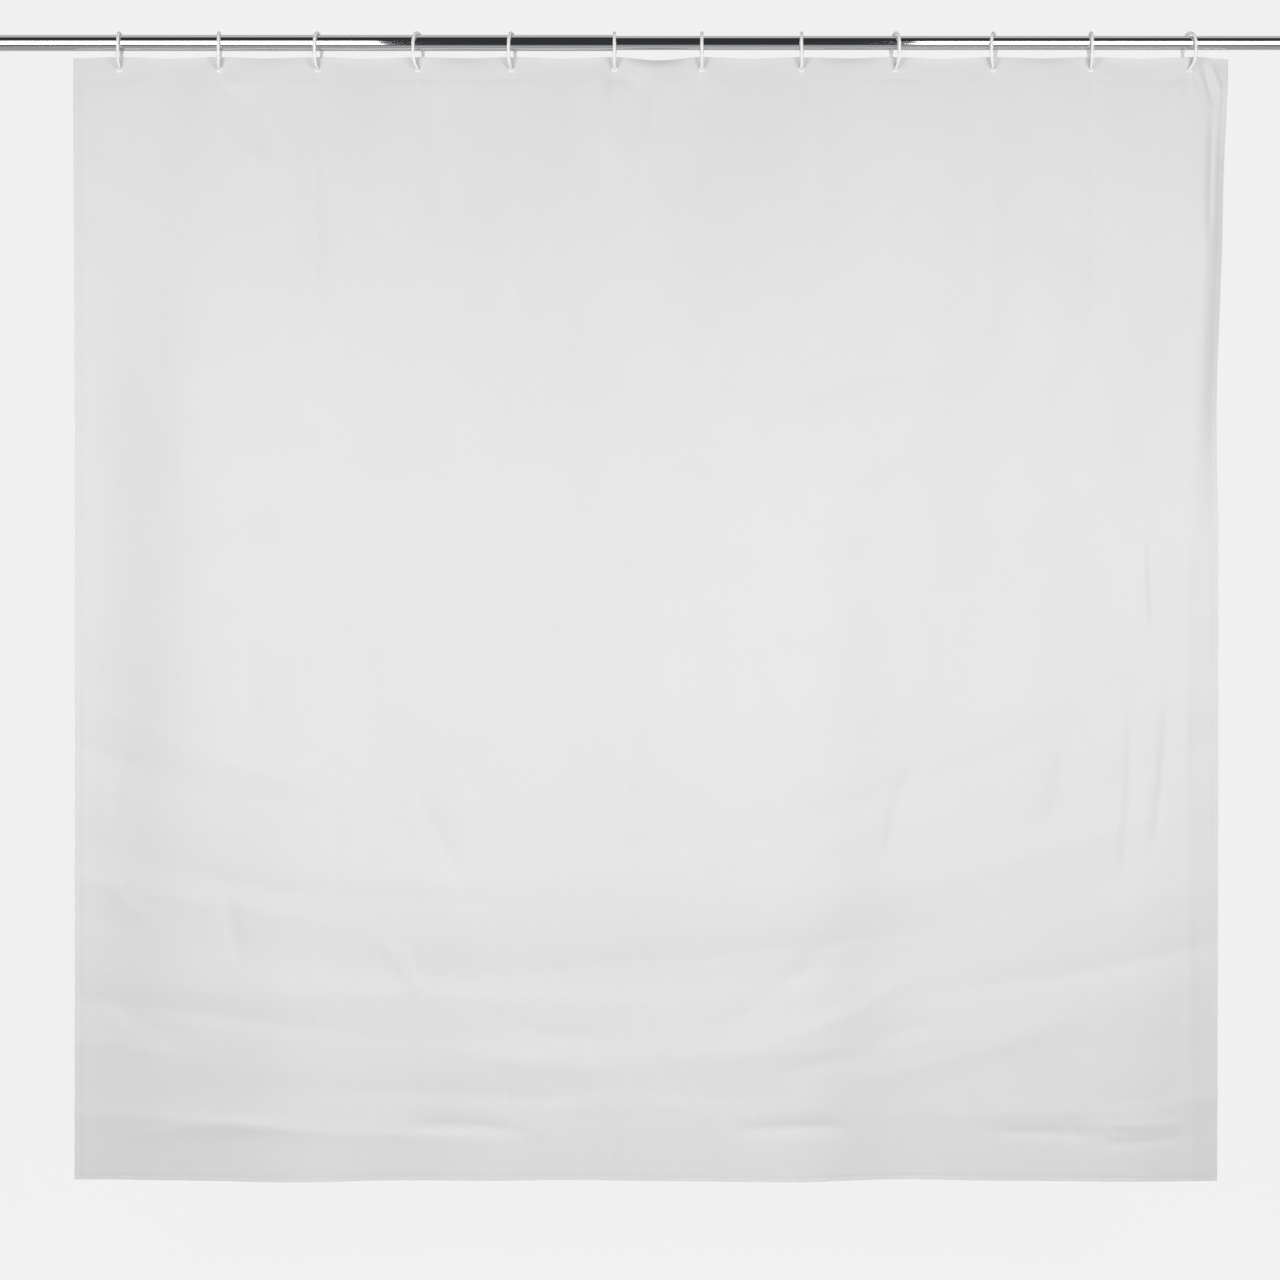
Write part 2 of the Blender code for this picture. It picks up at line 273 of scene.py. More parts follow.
def rubber_material():
    material, tree, shader = plain_material("grey rubber", (0.23, 0.23, 0.23), 0.7)
    grain = clouds_and_grain(tree, shader, object_coordinates(tree), (0.19, 0.19, 0.19), (0.26, 0.26, 0.26),
                             90.0, 0.6, 0.85, 1100.0)
    tree.links.new(bump(tree, grain, 0.6, 0.00015), shader.inputs["Normal"])
    return material


# Mesh helpers

def add_piece(name, mesh, material, body):
    piece = bpy.data.objects.new(name, mesh)
    bpy.context.scene.collection.objects.link(piece)
    mesh.materials.append(material)
    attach(piece, body)
    return piece


def finished_mesh(name, shape):
    bmesh.ops.remove_doubles(shape, verts=shape.verts, dist=1e-6)
    bmesh.ops.recalc_face_normals(shape, faces=shape.faces)
    mesh = bpy.data.meshes.new(name)
    shape.to_mesh(mesh)
    shape.free()
    mesh.shade_smooth()
    mesh.set_sharp_from_angle(angle=SHARP_ANGLE)
    return mesh


def turned_mesh(name, outline):
    """Turned about the X axis from (distance along X, radius) points. An outline that starts and ends on
    the axis makes a solid, and any other is closed round a bore."""
    shape = bmesh.new()
    points = [shape.verts.new((x, 0, radius)) for x, radius in outline]
    edges = [shape.edges.new(pair) for pair in zip(points, points[1:])]
    if outline[0][1] > 0:
        edges.append(shape.edges.new((points[-1], points[0])))
    bmesh.ops.spin(shape, geom=points + edges, cent=(0, 0, 0), axis=(1, 0, 0), dvec=(0, 0, 0),
                   angle=math.tau, steps=ROUND_STEPS, use_merge=True, use_duplicate=False)
    return finished_mesh(name, shape)


def rounded(outline, radius, steps):
    """The outline with each inner corner rounded off, by as much as its shorter side allows."""
    soft = [outline[0]]
    for before, corner, after in zip(outline, outline[1:], outline[2:]):
        a, c, b = Vector(before), Vector(corner), Vector(after)
        cut = min(radius, 0.45 * (a - c).length, 0.45 * (b - c).length)
        start, end = c + (a - c).normalized() * cut, c + (b - c).normalized() * cut
        for k in range(steps + 1):
            t = k / steps
            point = start * (1 - t) ** 2 + c * 2 * t * (1 - t) + end * t ** 2
            soft.append((point.x, point.y))
    soft.append(outline[-1])
    return soft


def skinned_mesh(name, shape, rows, closed):
    """The skin over rings of points set along a wire. An open wire gets a flat cap at each end."""
    pairs = list(zip(rows, rows[1:])) + ([(rows[-1], rows[0])] if closed else [])
    for first, second in pairs:
        for step in range(len(first)):
            shape.faces.new((first[step], first[step - 1], second[step - 1], second[step]))
    if not closed:
        shape.faces.new(rows[0])
        shape.faces.new(reversed(rows[-1]))
    return finished_mesh(name, shape)


def loop_mesh(name, path, radii, sides, seam):
    """A tube along a closed line that stands across X. Each point has its own radius, and seam raises a
    fine mould line on the two sides that face along X."""
    shape = bmesh.new()
    side = Vector((1, 0, 0))
    rows = []
    for k, (point, radius) in enumerate(zip(path, radii)):
        along = (Vector(path[(k + 1) % len(path)]) - Vector(path[k - 1])).normalized()
        out = along.cross(side).normalized()
        row = []
        for step in range(sides):
            angle = math.tau * step / sides
            reach = radius + (seam if step in (0, sides // 2) else 0)
            away = (side * math.cos(angle) + out * math.sin(angle)) * reach
            row.append(shape.verts.new(Vector(point) + away))
        rows.append(row)
    return skinned_mesh(name, shape, rows, closed=True)


def coil_mesh(name, path, wire, sides):
    """A coil's wire: each ring of points stands across it, with one side away from the coil's axis."""
    shape = bmesh.new()
    rows = []
    for k, point in enumerate(path):
        ahead, behind = path[min(k + 1, len(path) - 1)], path[max(k - 1, 0)]
        along = (Vector(ahead) - Vector(behind)).normalized()
        out = Vector((0, point[1], point[2])).normalized()
        side = along.cross(out).normalized()
        angles = [math.tau * step / sides for step in range(sides)]
        rows.append([shape.verts.new(Vector(point) + (out * math.cos(a) + side * math.sin(a)) * wire)
                     for a in angles])
    return skinned_mesh(name, shape, rows, closed=False)


# The film's creases. u runs along the hem from the left edge, and v runs down from the top edge.

def soft_step(t):
    t = np.clip(t, 0, 1)
    return t * t * (3 - 2 * t)


def fading(t, share=0.3):
    """1 along the middle of a fold, falling away to 0 at both of its ends."""
    return soft_step(t / share) * soft_step((1 - t) / share)


def ridge(q):
    """A crease in cross-section: a rounded crest with long flanks."""
    return np.exp(0.4 - np.sqrt(q * q + 0.16))


def down_fold(u, v, top, bottom, width, depth, bow=0.0):
    t = np.clip((v - top[1]) / (bottom[1] - top[1]), 0, 1)
    middle = top[0] + (bottom[0] - top[0]) * t + bow * np.sin(math.pi * t)
    return depth * fading(t) * ridge((u - middle) / width)


def cross_fold(u, v, left, right, width, depth, sag=0.0):
    t = np.clip((u - left[0]) / (right[0] - left[0]), 0, 1)
    middle = left[1] + (right[1] - left[1]) * t + 4 * sag * t * (1 - t)
    return depth * fading(t) * ridge((v - middle) / width)


# Folds that run down: (u, v) at the top, (u, v) at the bottom, width, depth, and a bow where there is one.
HANGING_FOLDS = (
    ((0.255, 0.035), (0.310, 0.170), 0.010, 0.0030),
    ((0.372, 0.040), (0.385, 0.400), 0.012, 0.0030, 0.006),
    ((0.573, 0.040), (0.576, 0.290), 0.008, 0.0032),
    ((0.722, 0.110), (0.672, 0.620), 0.014, 0.0030, 0.008),
    ((0.842, 0.010), (0.850, 0.190), 0.009, -0.0040),
    ((0.905, 0.015), (0.890, 0.150), 0.008, 0.0034),
    ((0.935, 0.012), (0.925, 0.120), 0.006, -0.0026),
    ((1.000, 0.020), (0.985, 0.230), 0.010, 0.0024),
    ((0.880, 0.440), (0.868, 0.640), 0.012, -0.0026, 0.004),
    ((1.040, 0.430), (1.034, 0.560), 0.009, 0.0022),
    ((1.150, 0.030), (1.160, 0.260), 0.010, -0.0020, 0.004),
    ((1.438, 0.050), (1.442, 0.560), 0.009, 0.0022, 0.022),
    ((1.610, 0.030), (1.618, 0.560), 0.009, 0.0014, 0.008),
    ((1.806, 0.070), (1.806, 0.300), 0.005, 0.0020),
    ((1.786, 0.004), (1.812, 0.085), 0.004, 0.0018),
    ((1.800, 0.004), (1.822, 0.060), 0.003, -0.0014),
    ((0.290, 0.900), (0.288, 1.130), 0.012, 0.0020),
    ((0.905, 0.980), (0.880, 1.230), 0.010, 0.0022),
    ((1.148, 1.160), (1.160, 1.290), 0.007, 0.0020),
    ((1.362, 1.090), (1.300, 1.280), 0.009, 0.0034, -0.006),
    ((1.588, 1.080), (1.566, 1.240), 0.007, 0.0024),
    ((1.690, 0.960), (1.672, 1.360), 0.010, 0.0030, 0.010),
    ((1.722, 0.720), (1.728, 0.980), 0.007, 0.0034),
    ((1.750, 0.980), (1.715, 1.300), 0.009, 0.0028, 0.010),
    ((0.240, 1.310), (0.266, 1.440), 0.008, 0.0022),
    ((0.480, 1.380), (0.562, 1.500), 0.009, -0.0026, 0.006),
    ((0.500, 1.020), (0.650, 1.370), 0.014, 0.0030, -0.010),
)

# Folds that run across like a slack line: (u, v) at the left, (u, v) at the right, width, depth, and sag.
SLACK_FOLDS = (
    ((0.060, 1.360), (1.700, 1.340), 0.050, 0.0040, 0.120),
    ((0.150, 1.250), (1.600, 1.230), 0.045, -0.0030, 0.100),
    ((0.640, 1.520), (0.880, 1.560), 0.009, 0.0018, 0.008),
    ((0.560, 1.560), (0.960, 1.606), 0.011, -0.0020, 0.014),
    ((0.990, 1.560), (1.250, 1.370), 0.012, 0.0024, 0.015),
    ((1.020, 1.590), (1.380, 1.450), 0.011, -0.0022, 0.012),
    ((1.080, 1.620), (1.420, 1.510), 0.010, 0.0024, 0.012),
    ((1.180, 1.640), (1.620, 1.520), 0.010, -0.0022, 0.010),
    ((1.130, 0.550), (1.350, 0.480), 0.010, 0.0022),
    ((0.520, 1.700), (0.750, 1.712), 0.009, 0.0036, -0.012),
    ((0.740, 1.668), (1.040, 1.664), 0.010, -0.0034, -0.010),
    ((1.040, 1.706), (1.260, 1.700), 0.009, 0.0036, -0.010),
    ((0.060, 1.716), (0.360, 1.690), 0.012, -0.0024, -0.010),
    ((1.440, 1.706), (1.680, 1.712), 0.007, 0.0024, -0.006),
    ((1.600, 1.660), (1.790, 1.640), 0.006, 0.0022, 0.006),
    ((1.620, 1.690), (1.800, 1.684), 0.005, -0.0020, 0.004),
    ((1.610, 1.724), (1.800, 1.706), 0.005, 0.0018, 0.003),
    ((0.050, 1.500), (0.200, 1.556), 0.013, 0.0016, 0.010),
    ((0.050, 1.310), (0.150, 1.380), 0.012, -0.0012, 0.010),
)


def bay_swell(u, v):
    """The film bows out or in between two rings, less and less further down."""
    total = np.zeros_like(u)
    bows = (0.004, -0.003, 0.005, -0.004, 0.006, -0.010, 0.004, -0.005, 0.004, -0.004, 0.005)
    for left, right, bow in zip(HOLES, HOLES[1:], bows):
        t = np.clip((u - left) / (right - left), 0, 1)
        total += bow * np.sin(math.pi * t) ** 2
    return total * np.exp(-v / 0.26) * soft_step(v / 0.02 + 0.4)


CREASE_SHARE = 2.1  # chosen: how far the film is drawn in, over what the length of its slow waves takes
EDGE_TURN = 0.006  # chosen: how far the free strip beyond the last ring is drawn in


def broad_waves(u, v):
    """Slow waves, none along the taut hem and at their full depth a third of the way down."""
    looseness = soft_step(v / 0.66)
    swing = np.sin(9.3 * u + 0.3 * v + 0.6) + 0.6 * np.sin(15.1 * u - 0.9 * v + 1.9)
    return 0.0092 * looseness * (swing + 0.36 * np.sin(23.7 * u + 1.1 * v))


def edge_curl(u, v, amount):
    """The loose right edge turns back once under the last ring, and hangs nearly straight below that."""
    inset = FILM_WIDTH - u
    high = soft_step((v - 0.03) / 0.15) * soft_step((0.80 - v) / 0.35)
    wander = 0.006 * np.sin(4.0 * v + 0.5)
    turned = np.exp(-((inset + wander) / 0.022) ** 2)
    streak = np.exp(-((inset - 0.045 + wander) / 0.012) ** 2) * soft_step((v - 0.5) / 0.3)
    corner = np.exp(-inset / 0.03) * soft_step(1 - v / 0.12)
    return amount * (high * turned - 0.12 * streak + 0.3 * corner)


def nested_slack(u, v):
    """Long shallow folds, one below the other, that sag across the lower third like hung lines."""
    total = np.zeros_like(u)
    for k in range(11):
        low = 1.20 + 0.050 * k
        rise = 0.30 - 0.026 * k
        middle = low - rise * ((u - 0.80 + 0.02 * k) / 1.0) ** 2 + 0.010 * np.sin(6.0 * u + 2.3 * k)
        strength = 0.55 + 0.45 * np.sin(4.3 * u + 1.9 * k)
        depth = 0.0024 if k % 2 else -0.0020
        total += depth * (0.5 + 0.05 * k) * strength * ridge((v - middle) / 0.011)
    return total


def ring_puckers(u, v):
    """Short creases that spread down and out from each ring's hole."""
    dice = random.Random(11)
    total = np.zeros_like(u)
    for hole in HOLES:
        for lean in (-58, -28, -4, 22, 50):
            angle = math.radians(lean + dice.uniform(-9, 9))
            length = dice.uniform(0.030, 0.070)
            depth = dice.choice((-1, 1)) * dice.uniform(0.0005, 0.0012)
            along = (u - hole) * math.sin(angle) + (v - HOLE_DROP) * math.cos(angle)
            across = (u - hole) * math.cos(angle) - (v - HOLE_DROP) * math.sin(angle)
            shape = fading(np.clip(along / length, 0, 1), 0.4)
            total += depth * shape * ridge(across / (0.0025 + 0.06 * np.clip(along, 0, 0.1)))
    return total


def small_crinkles(u, v, amount):
    """Short random creases, denser near the bottom and the right edge."""
    dice = random.Random(7)
    total = np.zeros_like(u)
    for _ in range(150):
        down = 1 - dice.random() ** 1.6
        centre = (dice.uniform(0.03, FILM_WIDTH - 0.03), 0.05 + down * (FILM_HEIGHT - 0.08))
        lean = dice.uniform(-0.5, 0.5) + 1.2 * (centre[0] / FILM_WIDTH - 0.5) * down
        length = dice.uniform(0.03, 0.11)
        width = dice.uniform(0.005, 0.012)
        depth = amount * dice.choice((-1, 1)) * dice.uniform(0.3, 1.0)
        along = (u - centre[0]) * math.sin(lean) + (v - centre[1]) * math.cos(lean)
        across = (u - centre[0]) * math.cos(lean) - (v - centre[1]) * math.sin(lean)
        total += depth * np.exp(-(along / length) ** 2) * ridge(across / width)
    return total


def film_depth(u, v, settings):
    """How far the film stands towards the back (+Y) at each point."""
    depth = bay_swell(u, v) + broad_waves(u, v) + edge_curl(u, v, settings.curl)
    for fold in HANGING_FOLDS:
        depth += settings.fold_depth * down_fold(u, v, *fold)
    for fold in SLACK_FOLDS:
        depth += settings.fold_depth * cross_fold(u, v, *fold)
    depth += settings.fold_depth * (nested_slack(u, v) + ring_puckers(u, v))
    depth += small_crinkles(u, v, settings.crinkle_depth)
    near_ring = np.ones_like(u)
    for hole in HOLES:
        away = np.sqrt((u - hole) ** 2 + (v - HOLE_DROP) ** 2)
        near_ring *= soft_step(away / 0.024 - 0.3)
    return depth * near_ring


def weld_lines(u, v, settings):
    """The pressed lines of the welds: under the header, and along the side and bottom hems."""
    line = settings.weld_width / 2
    marks = 0.5 * np.exp(-((v - HEADER_HEIGHT) / line) ** 2)
    inside = soft_step((v - HEADER_HEIGHT) / 0.002)
    marks = np.maximum(marks, np.exp(-((u - settings.side_hem) / line) ** 2) * inside)
    marks = np.maximum(marks, np.exp(-((FILM_WIDTH - settings.side_hem - u) / line) ** 2) * inside)
    return np.maximum(marks, np.exp(-((FILM_HEIGHT - settings.bottom_hem - v) / line) ** 2))


def top_edge_dip(u, v):
    """How far the hem sags between the rings, most in the slackest bay."""
    dip = np.zeros_like(u)
    for k, (left, right) in enumerate(zip(HOLES, HOLES[1:])):
        t = np.clip((u - left) / (right - left), 0, 1)
        dip += (0.0060 if k == 5 else 0.0022) * np.sin(math.pi * t) ** 2
    dip += 0.0030 * soft_step((u - HOLES[-1] - 0.01) / 0.05)
    dip += 0.0022 * soft_step((HOLES[0] - 0.01 - u) / 0.06)
    return dip * np.exp(-v / 0.12)

def lines_between(stops, spacing):
    """Grid lines through every stop, with the stretches between them filled evenly."""
    stops = sorted(set(round(stop, 6) for stop in stops))
    lines = [stops[0]]
    for before, after in zip(stops, stops[1:]):
        step = spacing(0.5 * (before + after))
        parts = max(1, math.ceil((after - before) / step - 1e-6))
        lines += [before + (after - before) * k / parts for k in range(1, parts + 1)]
    return np.array(lines)


def film_columns(settings):
    line = settings.weld_width
    stops = [0, settings.side_hem - line, settings.side_hem, settings.side_hem + line]
    stops += [FILM_WIDTH - stop for stop in stops]
    stops += [FILM_WIDTH - 0.05, FILM_WIDTH - 0.10, FILM_WIDTH - EDGE_STRIP]
    for hole in HOLES:
        stops += [hole + HOLE_RADIUS * k / 2 for k in range(-2, 3)] + [hole - 0.012, hole + 0.012]
    return lines_between(stops, lambda u: 0.0035 if u > FILM_WIDTH - EDGE_STRIP else settings.mesh_step)


def film_rows(settings):
    line = settings.weld_width
    fine_top, fine_foot = 0.2, 0.1
    stops = [0, HEADER_HEIGHT - line, HEADER_HEIGHT, HEADER_HEIGHT + line, HEADER_HEIGHT + 0.05, fine_top]
    stops += [HOLE_DROP + HOLE_RADIUS * k / 2 for k in range(-2, 3)]
    stops += [HOLE_DROP - 0.010, HOLE_DROP + 0.010]
    foot = FILM_HEIGHT - settings.bottom_hem
    stops += [foot - fine_foot, foot - line, foot, foot + line, FILM_HEIGHT]
    middle = (fine_top, foot - fine_foot)
    return lines_between(stops, lambda v: settings.mesh_step if middle[0] <= v <= middle[1] else 0.006)


def film_surface(columns, rows, settings, back, pressed):
    """Places of the grid's points in space, as arrays over rows and columns. The film is drawn in towards
    its left edge by more than its waves take, so a row can be 10 mm (0.5 %) shorter than the flat film."""
    u, v = np.meshgrid(columns, rows)
    fine = np.linspace(0, FILM_WIDTH, 1831)
    fine_u, fine_v = np.meshgrid(fine, rows)
    slope = np.gradient(broad_waves(fine_u, fine_v), fine, axis=1)
    shorter = 1 - np.sqrt(np.clip(1 - slope ** 2, 0.05, 1))
    lost = np.cumsum(shorter, axis=1) * (fine[1] - fine[0]) * CREASE_SHARE
    drawn_in = np.array([np.interp(columns, fine, row) for row in lost])
    free_strip = soft_step((u - HOLES[-1]) / (FILM_WIDTH - HOLES[-1]))
    drawn_in += EDGE_TURN * free_strip * soft_step(v / 0.22) * soft_step((0.80 - v) / 0.45)
    depth = film_depth(u, v, settings)
    if pressed:
        depth = depth + settings.weld_depth * weld_lines(u, v, settings)
    down = v + top_edge_dip(u, v)
    places = np.stack([FILM_LOW.x + u - drawn_in, depth + back, FILM_HIGH.z - down], axis=2)
    return u, v, places

def sheet_mesh(name, columns, rows, settings, back=0.0, pressed=True):
    """A thin closed sheet of the film between the given grid lines, with the ring holes it covers."""
    u, v, places = film_surface(columns, rows, settings, back, pressed)
    filled = np.ones((len(rows) - 1, len(columns) - 1), bool)
    flat_x = FILM_LOW.x + u
    flat_z = FILM_HIGH.z - v
    for hole in HOLES:
        across, down = u - hole, v - HOLE_DROP
        reach = np.maximum(abs(across), abs(down))
        rim = abs(reach - HOLE_RADIUS) < 1e-5
        if rim.sum() < RIM_POINTS:
            continue
        length = np.hypot(across[rim], down[rim])
        places[rim, 0] = flat_x[rim] + across[rim] * (HOLE_RADIUS / length - 1)
        places[rim, 2] = flat_z[rim] - down[rim] * (HOLE_RADIUS / length - 1)
        middle_u = (u[:-1, :-1] + u[1:, 1:]) / 2
        middle_v = (v[:-1, :-1] + v[1:, 1:]) / 2
        in_hole = (abs(middle_u - hole) < HOLE_RADIUS) & (abs(middle_v - HOLE_DROP) < HOLE_RADIUS)
        filled &= ~in_hole
    count = len(columns)
    row_index, column_index = np.nonzero(filled)
    first = row_index * count + column_index
    quads = np.stack([first, first + count, first + count + 1, first + 1], axis=1)
    used, quads = np.unique(quads, return_inverse=True)
    quads = quads.reshape(-1, 4)
    mesh = bpy.data.meshes.new(name)
    mesh.from_pydata(places.reshape(-1, 3)[used].tolist(), [], quads.tolist())
    metres = mesh.uv_layers.new(name="film_metres")
    flat = np.stack([u.ravel()[used], -v.ravel()[used]], axis=1)[quads.ravel()]
    metres.data.foreach_set("uv", flat.astype(np.float32).ravel())
    return thickened(name, mesh)


def thickened(name, mesh):
    """The sheet given its two faces and a rim, as a mesh with no modifier left on it."""
    holder = bpy.data.objects.new(name, mesh)
    bpy.context.scene.collection.objects.link(holder)
    solid = holder.modifiers.new("Solidify", "SOLIDIFY")
    solid.thickness = SHEET_THICKNESS
    solid.offset = 0
    graph = bpy.context.evaluated_depsgraph_get()
    closed = bpy.data.meshes.new_from_object(holder.evaluated_get(graph))
    bpy.data.objects.remove(holder)
    bpy.data.meshes.remove(mesh)
    closed.name = name
    closed.shade_smooth()
    closed.set_sharp_from_angle(angle=math.radians(60))
    return closed


def gather_with_rings(piece):
    """Gives the piece its own copy of its mesh."""
    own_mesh(piece)


# Properties

class FilmSettings(bpy.types.PropertyGroup):
    colour: bpy.props.FloatVectorProperty(
        name="Colour", description="Colour of the film", subtype="COLOR", size=3, min=0, max=1,
        default=(0.78, 0.78, 0.785))
    gloss: bpy.props.FloatProperty(
        name="Roughness", description="How frosted the film's skin is", min=0.1, max=1, default=0.46)
    clearness: bpy.props.FloatProperty(
        name="Clearness", description="Share of light that passes through", min=0, max=1, default=0.12)
    fold_depth: bpy.props.FloatProperty(
        name="Fold depth", description="Multiplies the depth of every fold", min=0, max=3, default=1.35)
    crinkle_depth: bpy.props.FloatProperty(
        name="Crinkle depth", description="Depth of the small creases", unit="LENGTH", default=0.0015)
    curl: bpy.props.FloatProperty(
        name="Edge curl", description="How far the loose right edge turns", unit="LENGTH", default=0.010)
    side_hem: bpy.props.FloatProperty(
        name="Side hem", description="Width of the side hems", unit="LENGTH", default=0.008)
    bottom_hem: bpy.props.FloatProperty(
        name="Bottom hem", description="Height of the bottom hem", unit="LENGTH", default=0.006)
    weld_width: bpy.props.FloatProperty(
        name="Weld width", description="Width of a weld line", unit="LENGTH", default=0.0016)
    weld_depth: bpy.props.FloatProperty(
        name="Weld depth", description="How deep a weld is pressed", unit="LENGTH", default=0.0004)
    mesh_step: bpy.props.FloatProperty(
        name="Mesh step", description="Widest grid spacing of the film", unit="LENGTH", default=0.010)


class RingSettings(bpy.types.PropertyGroup):
    colour: bpy.props.FloatVectorProperty(
        name="Colour", description="Colour of the rings", subtype="COLOR", size=3, min=0, max=1,
        default=(0.88, 0.88, 0.87))
    thickness: bpy.props.FloatProperty(
        name="Thickness", description="Diameter of a ring's bar", unit="LENGTH", default=RING_BAR)
    clasp: bpy.props.FloatProperty(
        name="Clasp", description="Extra radius of the clasp", unit="LENGTH", default=0.0007)
    clasp_length: bpy.props.FloatProperty(
        name="Clasp length", description="Length of the clasp", unit="LENGTH", default=0.006)
    sides: bpy.props.IntProperty(
        name="Sides", description="Sides of a ring's bar", min=8, max=48, default=20)


class RodSettings(bpy.types.PropertyGroup):
    colour: bpy.props.FloatVectorProperty(
        name="Chrome", description="Tint of the chrome", subtype="COLOR", size=3, min=0, max=1,
        default=(0.80, 0.81, 0.83))
    polish: bpy.props.FloatProperty(
        name="Roughness", description="Roughness of the chrome", min=0.01, max=0.5, default=0.05)
    plastic: bpy.props.FloatVectorProperty(
        name="Cups", description="Colour of the end cups", subtype="COLOR", size=3, min=0, max=1,
        default=(0.80, 0.80, 0.79))


class StageSettings(bpy.types.PropertyGroup):
    background: bpy.props.FloatVectorProperty(
        name="Background", description="Colour behind the curtain", subtype="COLOR", size=3, min=0, max=1,
        default=(0.875, 0.875, 0.875))
    light_power: bpy.props.FloatProperty(
        name="Softbox power", description="Power of each softbox", unit="POWER", default=34.1)
    distance: bpy.props.FloatProperty(
        name="Camera distance", description="From the camera to the film", unit="LENGTH", default=5.0)
    view_width: bpy.props.FloatProperty(
        name="View width", description="Width of the view at the film", unit="LENGTH", default=2.0275)
    drop_to_floor: bpy.props.FloatProperty(
        name="Rod height", description="From the floor to the rod", unit="LENGTH", default=2.0)


# Operators

class SHOWER_OT_groups(bpy.types.Operator):
    """Build the node groups that several materials share."""
    bl_idname = "shower.groups"
    bl_label = "Shared Effects"

    def execute(self, context):
        fine_grain_group()
        clouding_group()
        rubbing_marks_group()
        return {"FINISHED"}


class SHOWER_OT_film(bpy.types.Operator):
    """Make the creased film with its welded header band and hems."""
    bl_idname = "shower.film"
    bl_label = "Film and Hems"

    def execute(self, context):
        settings = context.scene.shower_film
        finish = film_material(settings)
        columns = film_columns(settings)
        rows = film_rows(settings)
        film = add_piece("film", sheet_mesh("film", columns, rows, settings), finish, "curtain")
        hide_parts("curtain_film")
        header_rows = rows[rows < HEADER_HEIGHT + 1e-6]
        band = sheet_mesh("header", columns, header_rows, settings, back=HEADER_BACK, pressed=False)
        header = add_piece("header", band, finish, "curtain")
        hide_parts("header_band")
        side_rows = rows[rows > HEADER_HEIGHT + 1e-6]
        foot_rows = rows[rows > FILM_HEIGHT - settings.bottom_hem - 1e-6]
        inner_left, inner_right = settings.side_hem + 1e-6, FILM_WIDTH - settings.side_hem - 1e-6
        between = columns[(columns > inner_left) & (columns < inner_right)]
        hems = []
        for name, hem_columns, hem_rows in (("hem_left", columns[columns < inner_left], side_rows),
                                            ("hem_right", columns[columns > inner_right], side_rows),
                                            ("hem_bottom", between, foot_rows)):
            strip = sheet_mesh(name, hem_columns, hem_rows, settings, back=HEM_BACK, pressed=False)
            hems.append(add_piece(name, strip, finish, "curtain"))
        for piece in (film, header, *hems):
            gather_with_rings(piece)
        return {"FINISHED"}


def arc_points(centre, radius, start, end, steps):
    angles = [start + (end - start) * k / steps for k in range(steps)]
    return [(centre[0] + radius * math.cos(a), centre[1] + radius * math.sin(a)) for a in angles]


def ring_path(settings):
    """The middle line of a ring, and the height of its clasp's top. The clasp is in the middle of a leg."""
    half_bar = settings.thickness / 2
    arch = (RING_HIGH.y - RING_LOW.y) / 2 - half_bar - CLASP_ROOM
    arch_height = RING_HIGH.z - half_bar - arch
    foot_height = RING_LOW.z + half_bar + FOOT_RADIUS
    inset, span = CHEEK_RADIUS - arch, CHEEK_RADIUS - FOOT_RADIUS
    cheek_height = foot_height + math.sqrt(span ** 2 - inset ** 2)
    close_in = math.acos(inset / span)
    points = arc_points((0, arch_height), arch, math.pi, 0, 40)
    points += [(arch, arch_height + (cheek_height - arch_height) * k / 12) for k in range(12)]
    points += arc_points((-inset, cheek_height), CHEEK_RADIUS, 0, -close_in, 24)
    points += arc_points((0, foot_height), FOOT_RADIUS, -close_in, close_in - math.pi, 8)
    points += arc_points((inset, cheek_height), CHEEK_RADIUS, close_in - math.pi, -math.pi, 24)
    points += [(-arch, cheek_height + (arch_height - cheek_height) * k / 6) for k in range(6)]
    return points, (arch_height + cheek_height + settings.clasp_length) / 2


def resampled(points, fine, coarse):
    """The closed line with a point every coarse length, and every fine length along the back leg."""
    leg_place, leg_foot, leg_top = 0.017, -0.024, 0.0
    loop = points + [points[0]]
    out = []
    for (y0, z0), (y1, z1) in zip(loop, loop[1:]):
        length = math.hypot(y1 - y0, z1 - z0)
        on_leg = y0 > leg_place and leg_foot < z0 < leg_top
        parts = max(1, math.ceil(length / (fine if on_leg else coarse) - 0.01))
        out += [(y0 + (y1 - y0) * k / parts, z0 + (z1 - z0) * k / parts) for k in range(parts)]
    return out


def ring_radius(y, z, top, settings):
    """The bar's radius: thicker at the clasp on the back leg, with a fine parting groove below it."""
    plain = settings.thickness / 2
    if y < 0:
        return plain
    bottom = top - settings.clasp_length
    slope, groove_depth, groove_width = 0.0012, 0.0005, 0.0005
    inside = min(top - z, z - bottom) / slope
    swell = settings.clasp * max(0.0, min(1.0, inside + 0.5))
    groove = groove_depth * math.exp(-((z - bottom + slope) / groove_width) ** 2)
    return plain + swell - groove


